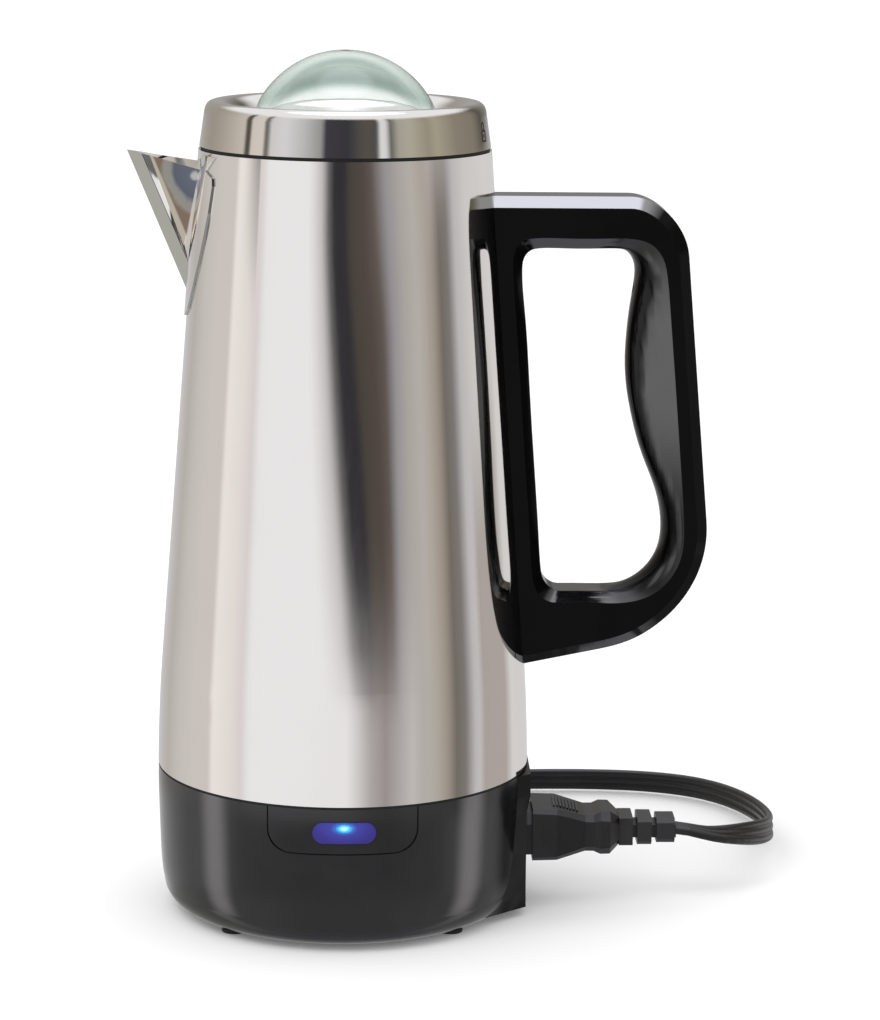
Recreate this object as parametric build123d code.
"""Electric coffee percolator with a detachable cord. Units are millimetres.

The origin is on the pot's axis, in the plane the feet stand on. +Z is up, +X is towards
the handle and power inlet, -X towards the spout, -Y towards the indicator lamp.
"""
from build123d import *
import os
import math

os.makedirs("parts", exist_ok=True)

# ---------------------------------------------------------------- shared dimensions
BASE_R = 74.0           # radius at the joint of metal and plastic
BASE_TOP_Z = 58.2
BASE_BOTTOM_Z = 1.5

SKIRT_R = 74.1          # lower edge of the metal vessel
SKIRT_Z = 59.2
STRAIGHT_R = 72.2       # the vessel is a straight cone from here up to the rim
STRAIGHT_Z = 103.0
RIM_R = 57.1
RIM_Z = 303.6
WALL = 1.0
FLOOR_Z = 66.0          # underside of the vessel's floor
FLOOR_TOP_Z = FLOOR_Z + 1.2
WELL_R = 15.0           # bore of the heater well
WELL_OUTER_R = WELL_R + 1.2

LID_Z = 304.9           # lower edge of the lid
LID_T = 0.9
LUG_ANGLES = (0.0, 120.0, 240.0)
NECK_R = 20.0           # hole in the lid's inner plate for the glass knob

STEM_R = 4.5
HUB_R = STEM_R + 0.06   # bore of the parts that slide on the stem
BASKET_Z = 221.0
BASKET_TOP_Z = 279.0

INLET_Z = 30.0          # height of the power inlet and of the connector
SOCKET_W, SOCKET_H = 30.0, 24.0
NECK_W, NECK_H = 24.0, 16.4                                    # connector's nose
PINS = [(0.0, INLET_Z + 2.0), (-7.0, INLET_Z - 2.0), (7.0, INLET_Z - 2.0)]    # y, z
CORD_START_X = 134.6


# ---------------------------------------------------------------- helpers
def save(name, shape):
    """Write one piece; a list becomes a compound."""
    if isinstance(shape, list):
        shape = Compound(children=list(shape))
    shape.label = name
    export_step(shape, "parts/" + name + ".step")


def polar(radius, degrees):
    angle = math.radians(degrees)
    return radius * math.cos(angle), radius * math.sin(angle)


def rz(radius, z):
    return Vector(radius, 0, z)


def lines(*points):
    """Chain of straight edges through (radius, z) points."""
    return [Line(rz(*start), rz(*end)) for start, end in zip(points, points[1:])]


def polygon(points):
    return Face(Wire(Polyline(*[Vector(*point) for point in points], close=True).edges()))


def turn(points):
    """Solid of revolution about Z from (radius, z) corners."""
    face = polygon([(radius, 0, z) for radius, z in points])
    return revolve(face, axis=Axis.Z, revolution_arc=360)


def turn_edges(edges):
    return revolve(Face(Wire(edges)), axis=Axis.Z, revolution_arc=360)


def cyl(radius, z0, z1, x=0.0, y=0.0):
    return Pos(x, y, (z0 + z1) / 2) * Cylinder(radius, z1 - z0)


def cyl_x(radius, x0, x1, y, z):
    return Pos((x0 + x1) / 2, y, z) * Rot(0, 90, 0) * Cylinder(radius, x1 - x0)


def cyl_y(radius, y0, y1, x, z):
    return Pos(x, (y0 + y1) / 2, z) * Rot(90, 0, 0) * Cylinder(radius, y1 - y0)


def block(x0, x1, y0, y1, z0, z1):
    centre = Pos((x0 + x1) / 2, (y0 + y1) / 2, (z0 + z1) / 2)
    return centre * Box(x1 - x0, y1 - y0, z1 - z0)


def prism_x(points, x0, x1):
    """Straight prism along X from (y, z) corners."""
    return extrude(polygon([(x0, y, z) for y, z in points]), amount=x1 - x0, dir=(1, 0, 0))


def prism_y(points, y0, y1):
    """Straight prism along Y from (x, z) corners."""
    return extrude(polygon([(x, y0, z) for x, z in points]), amount=y1 - y0, dir=(0, 1, 0))


def ruled_segments(faces):
    """One ruled loft between each pair of neighbouring faces."""
    return [loft([start, end], ruled=True) for start, end in zip(faces, faces[1:])]


def perforations(hole_r, z0, z1, rings, phase=0.0):
    """Hole cutters on circles given as (radius, count); phase is a fraction of the pitch."""
    return [cyl(hole_r, z0, z1, *polar(ring_r, 360 * (i + phase) / count))
            for ring_r, count in rings for i in range(count)]


# ---------------------------------------------------------------- vessel
def cone_r(z):
    """Outer radius of the vessel's straight cone."""
    slope = (STRAIGHT_R - RIM_R) / (RIM_Z - STRAIGHT_Z)
    return RIM_R + (RIM_Z - z) * slope


def vessel_form(grow):
    """The vessel's filled outer form, with its radii grown by the given amount."""
    controls = [(SKIRT_R, SKIRT_Z), (73.9, 73.8), (73.299, 88.4), (STRAIGHT_R, STRAIGHT_Z)]
    skirt = Bezier(*[rz(radius + grow, z) for radius, z in controls])
    return turn_edges([skirt] + lines(
        (STRAIGHT_R + grow, STRAIGHT_Z), (RIM_R + grow, RIM_Z), (0, RIM_Z), (0, SKIRT_Z),
        (SKIRT_R + grow, SKIRT_Z)))


VESSEL_FORM = vessel_form(0.0)


def vessel_shell():
    inside = vessel_form(-WALL) - cyl(80, FLOOR_Z, FLOOR_TOP_Z)
    vessel = VESSEL_FORM - inside - cyl(WELL_OUTER_R, 50, 80)
    # triangle of strainer holes behind the spout, point down
    top_row_z, row_pitch, hole_pitch, row_count = 291.0, 5.5, 6.0, 5
    for row in range(row_count):
        count = row_count - row
        for i in range(count):
            y = hole_pitch * (i - (count - 1) / 2)
            vessel = vessel - cyl_x(1.8, -70, -40, y, top_row_z - row_pitch * row)
    return vessel


def bayonet_ring():
    """Ring inside the mouth with three gaps for the lid's lugs."""
    outer_r, wall_r, lip_r, lip_t = 56.0, 55.2, 53.3, 1.2
    ring = turn([(wall_r, 297.6), (outer_r, 297.6), (outer_r, RIM_Z), (lip_r, RIM_Z),
                 (lip_r, RIM_Z - lip_t), (wall_r, RIM_Z - lip_t)])
    for angle in LUG_ANGLES:
        ring = ring - Rot(0, 0, angle) * block(50, wall_r, -7.5, 7.5, RIM_Z - 2, RIM_Z + 1)
    return ring


# ---------------------------------------------------------------- spout
SPOUT_TIP = Vector(-84.8, 0.0, 302.7)
SPOUT_LOW = Vector(-61.4, 0.0, 246.9)
SPOUT_RIM_NEG = Vector(-54.2, -20.0, 296.3)     # top corner on the vessel, -Y side
SPOUT_RIM_POS = Vector(-54.2, 20.0, 296.3)
SPOUT_T = 1.8
FLANGE_T = 0.9

# half of the flange's edge as (y, z), from the bottom up, then its opening from the top down
FLANGE_EDGE = [
    (0, 238.2), (-7.5, 239.0), (-13.6, 242.4), (-16.9, 246.9), (-19.8, 252.5), (-23.7, 261.6),
    (-26.4, 271.1), (-28.7, 281.0), (-30.0, 291.5), (-29.4, 294.4), (-23.4, 296.9),
    (-29.2, 302.4), (-20.2, 302.4), (-19.6, 296.6)]
FLANGE_OPENING = [(-19.0, 295.9), (-13.2, 279.0), (-7.0, 263.0), (0, 251.0)]


def along(start, end, fraction):
    return start + (end - start) * fraction


def unit(vector):
    return vector / vector.length


def tetrahedron(a, b, c, d):
    corners = ((a, b, c), (a, b, d), (a, c, d), (b, c, d))
    solid = Solid(Shell([polygon(face) for face in corners]))
    if solid.volume < 0:    # the shell may close inside out
        solid = Solid(solid.wrapped.Reversed())
    return solid


def spout_tetrahedron(stretch, move):
    """Spout form: its three edges run from the tip, stretched past the vessel's wall."""
    ends = [along(SPOUT_TIP, end, stretch) for end in (SPOUT_LOW, SPOUT_RIM_NEG, SPOUT_RIM_POS)]
    return tetrahedron(*[point + move for point in [SPOUT_TIP] + ends])


def spout_side_cutters(sign):
    """Triangular recess and fine front groove; sign is 1 for the -Y side, -1 for +Y."""
    normal = Vector(-0.566, -0.790 * sign, -0.237)
    rim = SPOUT_RIM_NEG if sign == 1 else SPOUT_RIM_POS
    front = along(SPOUT_TIP, rim, 0.196)
    low = Vector(-61.0, -3.98 * sign, 259.2)
    rear = along(SPOUT_TIP, rim, 0.95)
    rise = unit(front - low)
    across = unit(rear - front)
    # carry the upper corners past the spout's top edge
    front_up = front + rise * 6
    rear_up = rear + unit(rear - low) * 6

    # the recess tapers from wide outside to narrow at its floor
    skin = (front_up, low, rear_up)
    floor = (front_up + across * 3.4, low + rise * 7.0 + across * 0.4, rear_up - across * 0.6)
    mouth = polygon([outer * 2 - inner + normal for outer, inner in zip(skin, floor)])
    recess = loft([mouth, polygon([point - normal for point in floor])], ruled=True)

    def groove_section(point):
        half = across * 0.28
        return polygon([point - half + normal * 0.4, point + half + normal * 0.4,
                        point - normal * 0.45])

    groove = loft([groove_section(front_up), groove_section(low - rise * 1.0)], ruled=True)
    return recess, groove


def spout():
    inward = Vector(0.922, 0.0, 0.386)
    half_angle_sine = 0.613     # turns the wall thickness into a shift along inward
    body = spout_tetrahedron(1.3, Vector(0, 0, 0))
    hollow = spout_tetrahedron(1.45, inward * (SPOUT_T / half_angle_sine))
    walls = body - hollow - VESSEL_FORM
    for sign in (1, -1):
        for cutter in spout_side_cutters(sign):
            walls = walls - cutter
    # flange on the vessel round the spout, with an ear at each top corner
    points = FLANGE_EDGE + FLANGE_OPENING
    points = points + [(-y, z) for y, z in reversed(FLANGE_OPENING[:-1])]
    points = points + [(-y, z) for y, z in reversed(FLANGE_EDGE[1:])]
    flange = prism_x(points, -80, -40) & (vessel_form(FLANGE_T) - VESSEL_FORM)
    return walls + flange


# ---------------------------------------------------------------- lid
def lid_shell():
    bottom_r = 56.7
    wall_r, wall_top_z = 54.85, 317.6
    crest_r, crest_z = 50.6, 322.2
    seat_r = 39.3                       # edge of the opening round the glass
    outer_bottom = rz(bottom_r, LID_Z)
    outer_wall = rz(wall_r, wall_top_z)
    outer_crest = rz(crest_r, crest_z)
    outer_seat = rz(seat_r, 312.2)
    inner_seat = rz(seat_r, 311.2)
    inner_crest = rz(crest_r, crest_z - LID_T)
    inner_wall = rz(wall_r - LID_T, 317.4)
    inner_bottom = rz(bottom_r - LID_T, LID_Z)
    return turn_edges([
        Line(outer_bottom, outer_wall),
        Spline(outer_wall, rz(53.6, 321.0), outer_crest, tangents=[(-0.13, 0, 1), (-1, 0, 0)]),
        Spline(outer_crest, rz(47.0, 321.3), rz(44.2, 318.2), rz(41.6, 314.2), outer_seat,
               tangents=[(-1, 0, 0), (-1, 0, -0.45)]),
        Line(outer_seat, inner_seat),
        Spline(inner_seat, rz(42.2, 313.3), rz(44.9, 317.4), rz(47.4, 320.4), inner_crest,
               tangents=[(1, 0, 0.45), (1, 0, 0)]),
        Spline(inner_crest, rz(53.0, 320.2), inner_wall, tangents=[(1, 0, 0), (0.13, 0, -1)]),
        Line(inner_wall, inner_bottom),
        Line(inner_bottom, outer_bottom)])


def lid_inner_plate():
    """Shallow cup that plugs the mouth, carries the lugs and seats the glass."""
    hole_r = NECK_R + 0.4
    lug_r = 54.6
    plate = turn([
        (hole_r, 299.8), (50.9, 299.8), (50.9, 294.0), (51.8, 294.0), (51.8, LID_Z),
        (55.5, LID_Z), (55.5, 305.8), (50.9, 305.8), (50.9, 300.7), (hole_r, 300.7)])
    for angle in LUG_ANGLES:
        lug = Rot(0, 0, angle) * block(51.2, lug_r, -5.0, 5.0, 298.6, 301.8)
        plate = plate + (lug & cyl(lug_r, 298, 302.0))
    # notches that pass the glass knob's lugs
    for angle in (0.0, 180.0):
        plate = plate - Rot(0, 0, angle) * block(NECK_R - 2, NECK_R + 3.4, -5.0, 5.0, 299, 302)
    return plate


def washer(inner_r, outer_r, z0, z1):
    return turn([(inner_r, z0), (outer_r, z0), (outer_r, z1), (inner_r, z1)])


def lid_gasket():
    return washer(51.85, 56.2, RIM_Z, RIM_Z + 1.2)


def glass_knob():
    """Hollow dome on an open neck with two lugs."""
    top_z = 341.8
    outer_r, inner_r = 38.4, 34.2
    centre_z = top_z - outer_r
    neck_outer_r, neck_inner_r = NECK_R - 0.1, NECK_R - 3.2
    shoulder_z, neck_z = 303.2, 296.0

    def arc_point(radius, degrees):
        x, z = polar(radius, degrees)
        return x, centre_z + z

    def angle_at(radius, z):
        return math.degrees(math.asin((z - centre_z) / radius))

    outer_end = arc_point(outer_r, angle_at(outer_r, 306.5))
    inner_end = arc_point(inner_r, angle_at(inner_r, 311.0))
    inner_top = (0, centre_z + inner_r)
    edges = [ThreePointArc(rz(0, top_z), rz(*arc_point(outer_r, 50)), rz(*outer_end))]
    edges += lines(outer_end, (36.4, shoulder_z), (neck_outer_r, shoulder_z),
                   (neck_outer_r, neck_z), (neck_inner_r, neck_z), (neck_inner_r, 309.5),
                   inner_end)
    edges.append(ThreePointArc(rz(*inner_end), rz(*arc_point(inner_r, 55)), rz(*inner_top)))
    edges += lines(inner_top, (0, top_z))
    glass = turn_edges(edges)
    lug_r = NECK_R + 2.8
    for angle in (0.0, 180.0):
        lug = Rot(0, 0, angle) * block(NECK_R - 1.5, lug_r, -4.2, 4.2, 296.4, 298.6)
        glass = glass + (lug & cyl(lug_r, 296, 299))
    return glass


def knob_gasket():
    return washer(NECK_R, 26.0, 300.8, 303.1)


# ---------------------------------------------------------------- handle
HANDLE_HALF = 12.0      # half of the handle's thickness
HANDLE_FLAT = 7.8       # half width of its flat edge faces
HANDLE_TOP_Z = 286.4
HANDLE_BACK_X = 30      # inside the vessel, trimmed off later

# bracket position: height, and how far the screw's head hole reaches from the vessel
BRACKETS = {"upper": (250.0, 14), "lower": (122.0, 60)}
HEAD_SEAT = 6.2         # distance from the vessel to the screw head's seat

# Hand opening, vessel side, bottom to top:
# (x, z) at the handle's side face, (x, z) from OPENING_BEVEL deep to the mid plane
OPENING_BEVEL = 5.0
OPENING_NEAR = [
    ((84, 125.7), (86, 129.6)), ((79.5, 127.0), (81.8, 131.0)), ((76.2, 130.5), (79.2, 134.2)),
    ((74.6, 136.0), (78.1, 139.0)), ((73.5, 150), (77.25, 150)), ((71.2, 180), (75.0, 180)),
    ((69.0, 210), (72.8, 210)), ((66.7, 240), (70.55, 240)), ((65.4, 258), (69.2, 257.5)),
    ((65.9, 264.9), (70.0, 262.4)), ((68.3, 268.9), (72.3, 265.0)),
    ((73.0, 270.3), (76.0, 265.9)), ((86, 270.4), (86, 265.9))]
# Grip side, top to bottom:
# (x, z) at the side face, (x, z) where the rounding starts, |y| there, (x, z) at mid plane
OPENING_FAR = [
    ((100, 270.4), (97.0, 265.9), 7.0, (97.0, 265.9)),
    ((112.0, 270.3), (106.0, 266.2), 7.4, (104.5, 265.8)),
    ((119.0, 268.2), (113.0, 265.6), 8.6, (109.8, 264.6)),
    ((123.6, 263.0), (119.6, 261.2), 10.3, (112.9, 260.6)),
    ((125.6, 255.4), (122.6, 254.8), 10.8, (113.4, 253.6)),
    ((126.9, 243.0), (120.2, 243.0), 9.3, (112.0, 243.5)),
    ((128.0, 231.0), (118.2, 231.0), 8.1, (110.8, 232.0)),
    ((129.0, 220.0), (117.3, 220.5), 7.3, (110.4, 221.0)),
    ((129.9, 210.0), (117.8, 210.0), 7.2, (111.2, 210.5)),
    ((130.8, 199.6), (119.7, 199.6), 7.6, (113.3, 199.5)),
    ((131.7, 189.1), (122.1, 189.1), 8.2, (116.2, 188.5)),
    ((132.5, 180.0), (125.0, 180.0), 9.0, (119.3, 180.0)),
    ((133.3, 171.0), (128.9, 170.8), 10.2, (122.9, 171.0)),
    ((134.0, 162.0), (132.2, 161.6), 11.2, (125.2, 162.5)),
    ((134.4, 153.5), (133.0, 153.4), 11.3, (126.0, 154.5)),
    ((133.6, 144.8), (131.0, 144.6), 10.8, (124.9, 146.0)),
    ((129.0, 135.0), (124.6, 135.8), 9.8, (119.0, 136.4)),
    ((121.5, 128.6), (116.5, 131.2), 8.0, (112.0, 131.8)),
    ((112.0, 125.8), (104.0, 129.6), 7.0, (104.0, 129.6)),
    ((98.0, 125.7), (95.0, 129.6), 7.0, (95.0, 129.6))]
# y of the opening's outlines on the -Y half; the other half mirrors them
OPENING_Y = [-12.6, -12.0, -11.5, -11.0, -10.5, -10.0, -9.55, -9.1, -8.65, -8.2, -7.75, -7.3,
             -6.8, -6.2, -5.5, -4.6, -3.5, -2.3, -1.0]


def mix(start, end, fraction):
    return tuple(a + (b - a) * fraction for a, b in zip(start, end))


def opening_outline(y):
    """Closed outline of the hand opening at distance y from the mid plane."""
    depth = HANDLE_HALF - abs(y)
    points = [mix(side, middle, min(depth / OPENING_BEVEL, 1.0))
              for side, middle in OPENING_NEAR]
    for side, start, start_y, middle in OPENING_FAR:
        if abs(y) >= start_y:
            points.append(mix(side, start, depth / (HANDLE_HALF - start_y)))
        else:
            rounding = 1.0 - math.sqrt(1.0 - (y / start_y) ** 2)
            points.append(mix(middle, start, rounding))
    return Wire([Edge.make_spline([Vector(x, y, z) for x, z in points], periodic=True)])


def handle_slab():
    profile = Face(Wire([
        *lines((HANDLE_BACK_X, HANDLE_TOP_Z), (111, HANDLE_TOP_Z)),
        Bezier(rz(111, HANDLE_TOP_Z), rz(121.5, HANDLE_TOP_Z), rz(133.3, 275.5),
               rz(134.3, 263.0)),
        *lines((134.3, 263.0), (143.6, 158.0)),
        Bezier(rz(143.6, 158.0), rz(145.1, 141.0), rz(137.5, 127.0), rz(127.2, 118.0)),
        Bezier(rz(127.2, 118.0), rz(118.4, 110.3), rz(111.0, 107.7), rz(101.5, 105.8)),
        *lines((101.5, 105.8), (71.0, 99.6), (HANDLE_BACK_X, 91.0),
               (HANDLE_BACK_X, HANDLE_TOP_Z))]))
    slab = extrude(profile, amount=HANDLE_HALF, dir=(0, 1, 0), both=True)
    rim_edges = [edge for edge in slab.edges()
                 if abs(abs(edge.center().Y) - HANDLE_HALF) < 0.01
                 and edge.center().X > HANDLE_BACK_X + 1]
    return chamfer(rim_edges, length=HANDLE_HALF - HANDLE_FLAT)


def bracket_block(z, grow):
    """Small block on the vessel, standing into the handle."""
    wall_x = cone_r(z)
    body = block(wall_x - 5, wall_x + 3.6 + grow, -6 - grow, 6 + grow, z - 9 - grow,
                 z + 9 + grow)
    return body - VESSEL_FORM


def handle():
    all_y = OPENING_Y + [-y for y in reversed(OPENING_Y)]
    opening = Solid.make_loft([opening_outline(y) for y in all_y], ruled=True)
    grip = handle_slab() - opening - VESSEL_FORM
    # bracket pockets and screw holes
    for z, head_hole_end in BRACKETS.values():
        wall_x = cone_r(z)
        grip = grip - bracket_block(z, 0.15)
        grip = grip - cyl_x(2.1, wall_x, wall_x + 60, 0, z)
        grip = grip - cyl_x(4.0, wall_x + HEAD_SEAT, wall_x + head_hole_end, 0, z)
    return grip


def handle_bracket(z):
    wall_x = cone_r(z)
    return bracket_block(z, 0.0) - cyl_x(1.95, wall_x + 0.8, wall_x + 10, 0, z)


def handle_screws():
    """Two screws with cross-recessed heads."""
    screws = []
    for z, _ in BRACKETS.values():
        wall_x = cone_r(z)
        slot_x = wall_x + 7.2
        head = cyl_x(3.8, wall_x + HEAD_SEAT, wall_x + 8.0, 0, z)
        for half_y, half_z in ((0.5, 2.4), (2.4, 0.5)):
            head = head - block(slot_x, wall_x + 9, -half_y, half_y, z - half_z, z + half_z)
        screws.append(head + cyl_x(1.95, wall_x + 1.0, wall_x + 6.3, 0, z))
    return screws


# ---------------------------------------------------------------- base
# side of the base: radius, z
BASE_SIDE = [(BASE_R, BASE_TOP_Z), (74.05, 50.0), (73.85, 41.7), (73.6, 33.4), (73.3, 25.0),
             (72.9, 18.0), (71.9, 11.0)]
# radius against height, for placing the inlet housing: z, radius
BASE_RADII = [(3.6, 68.1), (6.0, 69.9), (11.0, 71.9), (20.0, 72.8), (30.0, 73.3),
              (45.0, 73.8), (BASE_TOP_Z, BASE_R)]
INLET_FACE_X = 73.2
BROW_X = INLET_FACE_X + 1.4
# inlet housing: z, half width where it leaves the base, half width of its flat face, face x
HOUSING = [(3.6, 38.0, 23.5, INLET_FACE_X), (10.0, 34.5, 22.5, INLET_FACE_X),
           (18.0, 31.0, 22.0, INLET_FACE_X), (26.0, 28.8, 22.0, INLET_FACE_X),
           (42.0, 27.0, 22.0, INLET_FACE_X), (49.0, 26.6, 22.0, BROW_X),
           (BASE_TOP_Z, 26.4, 22.0, BROW_X)]

PANEL_HALF_W = 28.6
PANEL_Z = 40.6          # lower edge of the indicator panel
PANEL_CORNER_R = 9.0
PANEL_DEPTH = 1.5
LENS_W, LENS_H = 24.4, 8.3
LENS_X, LENS_Z = 0.6, 49.1

FOOT_STEM_R = 4.3
FOOT_TOP_Z = 4.0
FEET = [polar(60.0, angle) for angle in (45, 135, 225, 315)]


def base_form(grow):
    """The base's filled outer form, with its radii grown by the given amount."""
    side = Spline(*[rz(radius + grow, z) for radius, z in BASE_SIDE])
    bottom_r = 63.4 + grow
    corner = ThreePointArc(rz(71.9 + grow, 11.0), rz(69.2 + grow, 4.7),
                           rz(bottom_r, BASE_BOTTOM_Z))
    return turn_edges([side, corner] + lines(
        (bottom_r, BASE_BOTTOM_Z), (0, BASE_BOTTOM_Z), (0, BASE_TOP_Z),
        (BASE_R + grow, BASE_TOP_Z)))


def base_r(z):
    """Outer radius of the base at height z."""
    for (z0, radius0), (z1, radius1) in zip(BASE_RADII, BASE_RADII[1:]):
        if z <= z1:
            return radius0 + (radius1 - radius0) * (z - z0) / (z1 - z0)


def housing_section(z, root, half_face, face_x):
    root_x = math.sqrt(base_r(z) ** 2 - root ** 2) + 0.25
    return polygon([(50, -root, z), (root_x, -root, z), (face_x, -half_face, z),
                    (face_x, half_face, z), (root_x, root, z), (50, root, z)])


def inlet_housing():
    """Flares towards the table and has a slight brow over the connector."""
    segments = ruled_segments([housing_section(*row) for row in HOUSING])
    housing = segments[0]
    for segment in segments[1:]:
        housing = housing + segment
    return housing


def inlet_box(x0, x1, width, height):
    """Box centred on the inlet's axis."""
    return block(x0, x1, -width / 2, width / 2, INLET_Z - height / 2, INLET_Z + height / 2)


def panel_prism(grow):
    """Panel outline, open upwards, with two round lower corners."""
    edge = PANEL_HALF_W + grow
    centre_z = PANEL_Z - grow + PANEL_CORNER_R
    points = [(-edge, 70)]
    for centre_x, start in ((PANEL_CORNER_R - edge, 180), (edge - PANEL_CORNER_R, 270)):
        for i in range(9):
            x, z = polar(PANEL_CORNER_R, start + 90 * i / 8)
            points.append((centre_x + x, centre_z + z))
    points.append((edge, 70))
    return prism_y(points, -90, -50)


def lens_prism(grow, y0, y1):
    """Stadium-shaped bar along Y."""
    height = LENS_H + grow
    radius = height / 2
    half = (LENS_W + grow) / 2 - radius
    bar = block(LENS_X - half, LENS_X + half, y0, y1, LENS_Z - radius, LENS_Z + radius)
    for x in (LENS_X - half, LENS_X + half):
        bar = bar + cyl_y(radius, y0, y1, x, LENS_Z)
    return bar


def base_shell():
    cavity = turn([
        (0, 6.0), (62.0, 6.0), (66.8, 8.6), (69.2, 13.5), (70.5, 22.0), (71.2, 35.0),
        (71.5, 50.0), (71.5, 54.5), (69.8, 56.0), (69.8, 70.0), (0, 70.0)])
    lip = turn([(69.8, 56.0), (71.4, 56.0), (72.5, 57.5), (72.5, 62.4), (69.8, 62.4)])
    base = base_form(0.0) + inlet_housing()
    base = base + lip - cavity
    # solid block inside the housing round the inlet
    base = base + (block(52, 73, -25.0, 25.0, 9, 52) & base_form(-1.0))
    # bottom opening, stepped for the cover
    base = base - cyl(54.7, 0, 3.5) - cyl(50.0, 0, 8.0)
    base = base - inlet_box(50, 80, SOCKET_W, SOCKET_H)
    for x, y in FEET:
        base = base - cyl(FOOT_STEM_R, 0, FOOT_TOP_Z, x, y)
    # lamp board ribs
    for x in (-11, 11):
        base = base + (block(x - 1, x + 1, -73, -66, 42, 56) & base_form(-1.0))
    base = base - (panel_prism(0.45) & (base_form(3.0) - base_form(-PANEL_DEPTH)))
    return base - lens_prism(0.1, -90, -60)


def indicator_panel():
    panel = panel_prism(0.0) & (base_form(-0.05) - base_form(-PANEL_DEPTH))
    return panel - lens_prism(0.1, -90, -60)


def indicator_lens():
    return lens_prism(0.0, -90, -69.5) & base_form(0.6)


def trim_ring():
    return washer(72.55, 73.85, BASE_TOP_Z, SKIRT_Z)


def lamp_board():
    """Board with a round-nosed lamp facing the lens."""
    lamp_r, face_y, nose_y = 2.5, -66.0, -66.9
    board = block(-13, 13, face_y, -64.4, 43, 55)
    nose = Pos(LENS_X, nose_y, LENS_Z) * Sphere(lamp_r) & block(-10, 10, -70, -65.9, 40, 60)
    return board + (cyl_y(lamp_r, nose_y, face_y, LENS_X, LENS_Z) + nose)


def bottom_cover():
    """Disc with radial vents and a central boss for the stud and its nut."""
    cover = cyl(54.5, BASE_BOTTOM_Z, 3.5) + cyl(9.0, 3.4, 9.0)
    cover = cover - cyl(2.6, 0, 20) - cyl(7.2, 0, 6.0)
    for i in range(6):
        for start in (24.0, 34.0, 44.0):
            cover = cover - Rot(0, 0, 60 * i + 30) * block(start, start + 6, -1.2, 1.2, 0, 5)
    return cover


def feet():
    return [cyl(5.0, 0.0, BASE_BOTTOM_Z, x, y) + cyl(FOOT_STEM_R, 1.4, FOOT_TOP_Z, x, y)
            for x, y in FEET]


# ---------------------------------------------------------------- heater parts
STUD_R = 2.5
FUSE_Y, FUSE_Z = 28, 50.8
HEATER_POSTS_X, HEATER_POSTS_Y = (5, 25), 22
THERMOSTAT_X, THERMOSTAT_Y = -24, -9


def heater_well():
    flange_r, flange_top_z = 21.0, FLOOR_TOP_Z + 0.8
    return turn([(0, 52.0), (WELL_OUTER_R, 52.0), (WELL_OUTER_R, FLOOR_TOP_Z),
                 (flange_r, FLOOR_TOP_Z), (flange_r, flange_top_z), (WELL_R, flange_top_z),
                 (WELL_R, 53.2), (0, 53.2)])


def heater_block():
    """Ring round the well with two terminal posts below it."""
    heater = turn([(WELL_OUTER_R, 53.0), (31.0, 53.0), (31.0, 62.0), (24.0, 65.4),
                   (WELL_OUTER_R, 65.4)])
    for x in HEATER_POSTS_X:
        heater = heater + cyl(3.0, 46.0, 53.2, x, HEATER_POSTS_Y)
    return heater


def clamp_stud():
    return cyl(STUD_R, 2.6, 50.5) + cyl(12.0, 50.5, 52.0)


def clamp_nut():
    corners = [(*polar(4.6, 60 * i), 3.0) for i in range(6)]
    return extrude(polygon(corners), amount=3.0, dir=(0, 0, 1)) - cyl(STUD_R, 0, 10)


def thermostat():
    """Stepped round body with two terminal tabs below it."""
    x, y = THERMOSTAT_X, THERMOSTAT_Y
    body = cyl(8.0, 47.0, 53.0, x, y) + cyl(6.0, 42.0, 47.1, x, y)
    for tab_x in (x - 5, x + 5):
        body = body + block(tab_x - 2, tab_x + 2, y - 1.5, y + 1.5, 40.5, 44.0)
    return body


def thermal_fuse():
    return cyl_x(2.2, -8, 6, FUSE_Y, FUSE_Z) + cyl_x(0.6, -12, 10, FUSE_Y, FUSE_Z)


# ---------------------------------------------------------------- power inlet
def nose_prism(width, height, x0, x1):
    """Box along X with its two upper corners cut off."""
    cut = 4.0
    y, bottom, top = width / 2, INLET_Z - height / 2, INLET_Z + height / 2
    return prism_x([(-y, bottom), (y, bottom), (y, top - cut), (y - cut, top),
                    (-y + cut, top), (-y, top - cut)], x0, x1)


def pin_blocks(x0, x1, grow=0.0):
    half_w, half_h = 2.0 + grow, 1.0 + grow
    return [block(x0, x1, y - half_w, y + half_w, z - half_h, z + half_h) for y, z in PINS]


def inlet_socket():
    socket = inlet_box(54, 72.8, SOCKET_W, SOCKET_H)
    socket = socket - nose_prism(NECK_W + 0.8, NECK_H + 0.8, 58.5, 80)
    for slot in pin_blocks(50, 60):
        socket = socket - slot
    return socket


def inlet_pins():
    tip_x = 71.5
    return [chamfer([edge for edge in pin.edges() if edge.center().X > tip_x - 0.1], length=0.6)
            for pin in pin_blocks(49, tip_x)]


def wiring():
    """Four round wires between inlet, thermostat, fuse and heater."""
    up, down, to_spout, to_handle = (0, 0, 1), (0, 0, -1), (-1, 0, 0), (1, 0, 0)
    # points, start direction, end direction
    routes = [
        ([(49.0, -7, 28.0), (28, -13, 30), (0, -17, 33), (-19, -9, 40.5)], to_spout, up),
        ([(49.0, 7, 28.0), (40, 13, 30), (29, 20, 38), (25, 22, 46.0)], to_spout, up),
        ([(-29, -9, 40.5), (-30, 6, 36), (-24, 24, 44), (-12.0, 28, 50.8)], down, to_handle),
        ([(10.0, 28, 50.8), (14, 31, 46), (8, 28, 39), (5, 22, 46.0)], to_handle, up)]
    wires = []
    for points, start, end in routes:
        path = Spline(*[Vector(*point) for point in points], tangents=[start, end])
        profile = Plane(origin=path @ 0, z_dir=path % 0) * Circle(1.1)
        wires.append(sweep(profile, path=path))
    return wires


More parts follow.
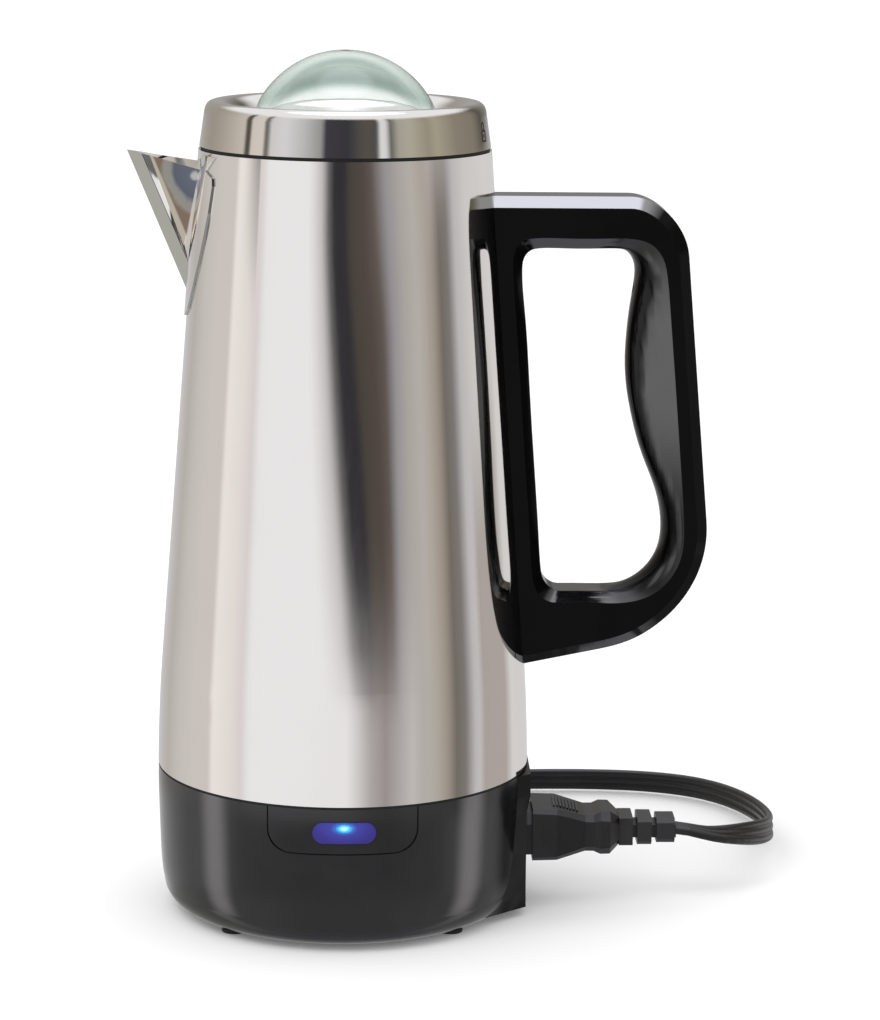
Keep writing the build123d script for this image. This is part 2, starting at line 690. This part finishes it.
# ---------------------------------------------------------------- stem, basket, spreader
def perk_stem():
    bore_r = 3.6
    collar_r = STEM_R - 0.5
    bell_top_r = STEM_R + 0.8
    stem = washer(bore_r, STEM_R, 70.5, 291.0)
    bell = turn([(13.4, 53.6), (14.4, 53.6), (14.4, 56.0), (12.6, 66.0), (bell_top_r, 70.6),
                 (bell_top_r, 72.6), (bore_r, 72.6), (bore_r, 69.6), (11.6, 65.4),
                 (13.4, 56.0)])
    stem = stem + bell
    # collar above the washer
    stem = stem + washer(collar_r, 7.5, 76.4, 77.4)
    # collar under the basket
    stem = stem + turn([(collar_r, BASKET_Z - 2.2), (8.5, BASKET_Z - 0.2), (8.5, BASKET_Z),
                        (collar_r, BASKET_Z)])
    # cross holes in the bell's skirt
    for angle in (0, 90):
        stem = stem - Rot(0, 0, angle) * cyl_y(1.2, -20, 20, 0, 55.0)
    return stem


def valve_washer():
    return washer(HUB_R, 12.5, 72.7, 73.7)


BASKET_R = 46.0


def basket():
    """Perforated cup with a central sleeve and a turned-out rim."""
    wall = 0.7
    inner_r, rim_r = BASKET_R - wall, BASKET_R + 1.2
    rim_top_z, floor_top_z = BASKET_TOP_Z + 0.8, BASKET_Z + wall
    cup = turn([
        (HUB_R, BASKET_Z), (BASKET_R, BASKET_Z), (BASKET_R, BASKET_TOP_Z), (rim_r, BASKET_TOP_Z),
        (rim_r, rim_top_z), (inner_r, rim_top_z), (inner_r, floor_top_z),
        (HUB_R + 1.0, floor_top_z), (HUB_R + 1.0, BASKET_TOP_Z - 2), (HUB_R, BASKET_TOP_Z - 2)])
    return cup - perforations(1.0, BASKET_Z - 1, BASKET_Z + 2,
                              rings=((13, 12), (20, 18), (27, 24), (34, 30), (41, 36)))


def basket_lid():
    """Perforated water spreader with a rim that stands above and below it."""
    z = BASKET_TOP_Z + 0.9
    thickness = 0.7
    inner_r, outer_r = BASKET_R + 1.6, BASKET_R + 2.3
    disc = turn([
        (HUB_R, z + 1.6), (12, z), (44.0, z), (inner_r, z), (inner_r, z - 5.0),
        (outer_r, z - 5.0), (outer_r, z + 2.2), (inner_r, z + 2.2), (inner_r, z + thickness),
        (44.0, z + thickness), (12, z + thickness), (HUB_R, z + 1.6 + thickness)])
    return disc - perforations(1.1, z - 1, z + 2,
                               rings=((17, 12), (25, 18), (33, 24), (40, 30)), phase=0.5)


# ---------------------------------------------------------------- connector and cord
# octagonal sections of the moulded body: x, width, height, corner cut
CONNECTOR = [(76.2, 27.0, 21.4, 1.6), (86.0, 27.0, 21.0, 1.8), (92.5, 24.6, 17.6, 2.0),
             (97.5, 23.0, 14.8, 2.2), (101.0, 23.0, 15.0, 2.4), (103.8, 24.0, 17.6, 3.0),
             (107.6, 24.0, 17.6, 3.4), (111.5, 16.0, 11.2, 2.6)]


def octagon(x, width, height, cut):
    y, z = width / 2, height / 2
    corners = [(-y + cut, -z), (y - cut, -z), (y, -z + cut), (y, z - cut), (y - cut, z),
               (-y + cut, z), (-y, z - cut), (-y, -z + cut)]
    return polygon([(x, corner_y, INLET_Z + corner_z) for corner_y, corner_z in corners])


def cord_connector():
    connector = nose_prism(NECK_W, NECK_H, 60.5, 77.0)
    for slot in pin_blocks(50, 73.5, grow=0.3):
        connector = connector - slot
    for segment in ruled_segments([octagon(*row) for row in CONNECTOR]):
        connector = connector + segment
    # strain relief: a root, a flat core and two collars
    connector = connector + inlet_box(111.4, 117.0, 15.2, 11.2)
    connector = connector + block(116.9, CORD_START_X, -5.6, 5.6, INLET_Z - 2.9, INLET_Z + 2.3)
    for x0, x1, width, height in ((118.8, 124.6, 15.0, 11.2), (126.6, 134.0, 13.4, 10.0)):
        collar = inlet_box(x0, x1, width, height)
        connector = connector + chamfer(collar.edges().filter_by(Axis.X), length=1.6)
    # grip ribs on both broad faces, following the taper
    for i in range(8):
        x = 84.6 + i * 1.35
        half_height = 11.0 - max(x - 86.0, 0.0) * 0.27
        connector = connector + inlet_box(x, x + 0.7, 14, 2 * half_height)
    return connector


LOBE_R, LOBE_PITCH = 1.75, 3.3          # the cord's three conductors
GROOVE_W, GROOVE_H = 1.45, 0.98         # where a lobe ends, from its own centre
CORD_STATIONS = 60
# cord path: x, y, z, lean of the broad side from flat (0) to on edge (90)
CORD_PATH = [
    (CORD_START_X, 0.0, 29.6, 0), (140.0, 0.2, 28.8, 0), (147.0, 1.6, 26.9, 8),
    (157.0, 7.5, 24.4, 28), (168.0, 22.0, 20.6, 58), (177.0, 44.0, 15.4, 80),
    (182.0, 70.0, 10.4, 88), (181.5, 98.0, 7.2, 88), (174.0, 123.0, 6.1, 85),
    (159.0, 142.0, 5.9, 80), (138.0, 152.5, 5.8, 76), (112.0, 156.5, 5.8, 74),
    (82.0, 156.5, 5.8, 72), (52.0, 154.5, 5.8, 76), (26.0, 154.0, 5.8, 88)]


def cord_lean(position):
    """Lean at a position, interpolated on the nearest chord of the path table."""
    candidates = []
    for (*start, lean0), (*end, lean1) in zip(CORD_PATH, CORD_PATH[1:]):
        start = Vector(*start)
        chord = Vector(*end) - start
        fraction = min(max((position - start).dot(chord) / chord.dot(chord), 0.0), 1.0)
        distance = (position - (start + chord * fraction)).length
        candidates.append((distance, lean0 + (lean1 - lean0) * fraction))
    return min(candidates, key=lambda candidate: candidate[0])[1]


def cord_section(origin, tangent):
    """Three-lobed outline square to the path."""
    flat = unit(Vector(-tangent.Y, tangent.X, 0))
    lean = math.radians(cord_lean(origin))
    broad = flat * math.cos(lean) + tangent.cross(flat) * math.sin(lean)
    thin = tangent.cross(broad)

    def at(along_broad, along_thin):
        return origin + broad * along_broad + thin * along_thin

    edges = []
    for sign in (1, -1):
        height = GROOVE_H * sign
        for i in (-1, 0, 1):
            centre = LOBE_PITCH * i * sign
            lobe_end = at(centre + GROOVE_W * sign, height)
            edges.append(ThreePointArc(at(centre - GROOVE_W * sign, height),
                                       at(centre, LOBE_R * sign), lobe_end))
            if i < 1:
                next_start = at(centre + (LOBE_PITCH - GROOVE_W) * sign, height)
                edges.append(Line(lobe_end, next_start))
        edge = (LOBE_PITCH + GROOVE_W) * sign
        edges.append(ThreePointArc(at(edge, height), at((LOBE_PITCH + LOBE_R) * sign, 0),
                                   at(edge, -height)))
    return Wire(edges)


def cord():
    """Leaves the connector lying flat and turns on edge in its loop."""
    path = Spline(*[Vector(x, y, z) for x, y, z, _ in CORD_PATH])
    # both ends are cut square to X
    end_tangents = {0: Vector(1, 0, 0), CORD_STATIONS: Vector(-1, 0, 0)}
    sections = []
    for i in range(CORD_STATIONS + 1):
        position = i / CORD_STATIONS
        tangent = end_tangents.get(i, path % position)
        sections.append(cord_section(path @ position, tangent))
    return Solid.make_loft(sections, ruled=True)


# ---------------------------------------------------------------- mains plug
PLUG_X, PLUG_Y = 24.0, 154.0
PLUG_FACE_X = PLUG_X - 30
PLUG_BOTTOM_Z = 0.4


def plug_box(x0, x1, half_width, top_z):
    return block(x0, x1, PLUG_Y - half_width, PLUG_Y + half_width, PLUG_BOTTOM_Z, top_z)


def mains_plug():
    body = plug_box(PLUG_FACE_X, PLUG_X - 4, 12.5, 25.6)
    body = chamfer(body.edges().filter_by(Axis.X), length=5.0)
    body = body + plug_box(PLUG_X - 4.1, PLUG_X + 2, 4, 12.2)
    return body + plug_box(PLUG_X - 12, PLUG_X - 3.9, 8, 18.0)


def plug_blades():
    """Two flat blades and a round pin below them."""
    blades = [block(PLUG_X - 47.5, PLUG_FACE_X, y - 0.75, y + 0.75, 13.0, 19.3)
              for y in (PLUG_Y - 6.35, PLUG_Y + 6.35)]
    return blades + [cyl_x(2.4, PLUG_X - 50.0, PLUG_FACE_X, PLUG_Y, 6.2)]


# ---------------------------------------------------------------- build: one file per function
for build in (
        vessel_shell, bayonet_ring, spout, lid_shell, lid_inner_plate, lid_gasket, glass_knob,
        knob_gasket, handle, handle_screws, base_shell, indicator_panel, indicator_lens,
        trim_ring, lamp_board, bottom_cover, feet, heater_well, heater_block, clamp_stud,
        clamp_nut, thermostat, thermal_fuse, inlet_socket, inlet_pins, wiring, perk_stem,
        valve_washer, basket, basket_lid, cord, cord_connector, mains_plug, plug_blades):
    save(build.__name__, build())
for place, (bracket_z, _) in BRACKETS.items():
    save("handle_bracket_" + place, handle_bracket(bracket_z))
